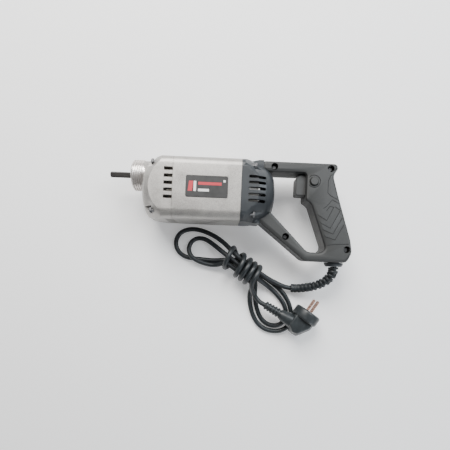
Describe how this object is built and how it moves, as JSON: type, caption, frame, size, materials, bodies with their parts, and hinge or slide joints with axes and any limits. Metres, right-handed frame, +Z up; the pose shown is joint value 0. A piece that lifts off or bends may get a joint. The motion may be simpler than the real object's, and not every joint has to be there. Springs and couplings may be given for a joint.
{
  "type": "concrete vibrator",
  "caption": "Hand-held electric drive unit for a poker-type concrete vibrator: finned cast motor body, threaded nose with hex drive shaft, D-shaped trigger handle and a coiled mains cord with plug.",
  "frame": {"origin": "on the tool's centre line between the front and rear housings' seams, on the flat side the tool lies on", "axes": "+X from the drive shaft towards the handle, +Y towards the handle's top bar, +Z up from the side the tool lies on"},
  "size_m": [0.3332, 0.2489, 0.0813],
  "materials": {
    "cast_silver": "sand-cast aluminium, silver finish",
    "steel": "ground steel",
    "screw_steel": "dark zinc-plated steel",
    "blackened_steel": "blackened hardened steel",
    "handle_plastic": "dark grey glass-filled nylon, lightly textured",
    "rear_plastic": "dark grey-blue moulded plastic",
    "label_film": "printed foil label",
    "cord_rubber": "smooth black rubber",
    "winding_copper": "lacquered copper",
    "lamination_steel": "stacked electrical steel",
    "brass": "plain",
    "carbon": "pressed carbon",
    "fan_nylon": "natural nylon",
    "plug_pin_metal": "plated, coppery sheen"
  },
  "bodies": {
    "housing": {"armature_bearing_front": "steel", "armature_bearing_rear": "steel", "bend_protector": "cord_rubber", "brush_holder_lower": "brass", "brush_holder_upper": "brass", "brush_spring_lower": "steel", "brush_spring_upper": "steel", "cable_gland": "rear_plastic", "capacitor": "rear_plastic", "carbon_brush_lower": "carbon", "carbon_brush_upper": "carbon", "cord_clamp": "fan_nylon", "cord_loops_left": "cord_rubber", "cord_loops_right": "cord_rubber", "cord_winding": "cord_rubber", "fan_baffle": "fan_nylon", "field_coil_lower": "winding_copper", "field_coil_upper": "winding_copper", "front_housing": "cast_silver", "front_screw_lower_left": "screw_steel", "front_screw_lower_right": "screw_steel", "front_screw_upper_left": "screw_steel", "front_screw_upper_right": "screw_steel", "gearcase_plate": "cast_silver", "handle_screw_1": "screw_steel", "handle_screw_2": "screw_steel", "handle_screw_3": "screw_steel", "handle_screw_4": "screw_steel", "handle_shell_left": "handle_plastic", "handle_shell_right": "handle_plastic", "label_plate": "label_film", "motor_housing": "cast_silver", "nose_seal": "cord_rubber", "plug_body": "cord_rubber", "plug_pin_lower": "plug_pin_metal", "plug_pin_upper": "plug_pin_metal", "power_cord": "cord_rubber", "power_cord_tail": "cord_rubber", "rear_housing": "rear_plastic", "rear_screw_lower_left": "screw_steel", "rear_screw_lower_right": "screw_steel", "rear_screw_upper_left": "screw_steel", "rear_screw_upper_right": "screw_steel", "spindle_bearing": "steel", "spindle_bush": "brass", "stator_core": "lamination_steel", "switch_body": "rear_plastic", "trigger_spring": "steel"},
    "armature": {"armature_shaft": "steel", "armature_core": "lamination_steel", "armature_winding_front": "winding_copper", "armature_winding_rear": "winding_copper", "commutator": "winding_copper", "cooling_fan": "fan_nylon"},
    "spindle": {"drive_shaft": "blackened_steel", "spindle_gear": "steel"},
    "trigger": {"trigger": "handle_plastic"},
    "lock_button": {"lock_button": "handle_plastic"}
  },
  "joints": [
    {"name": "armature_spin", "type": "hinge", "parent": "housing", "child": "armature", "pos_m": [0, 0, 0.0405], "axis": [1, 0, 0], "continuous": true},
    {"name": "spindle_spin", "type": "hinge", "parent": "housing", "child": "spindle", "pos_m": [-0.0957, 0.0205, 0.0405], "axis": [1, 0, 0], "continuous": true},
    {"name": "trigger_pull", "type": "slide", "parent": "housing", "child": "trigger", "axis": [1, 0, 0], "range_m": [0, 0.006], "stiffness_N_per_m": 900, "springref_m": -0.002, "deforming": ["trigger_spring"]},
    {"name": "lock_button_press", "type": "slide", "parent": "housing", "child": "lock_button", "axis": [0, 0, -1], "range_m": [0, 0.0025], "stiffness_N_per_m": 600, "springref_m": -0.001}
  ],
  "couplings": [
    {"joint": "spindle_spin", "follows": "armature_spin", "ratio": -0.4}
  ]
}
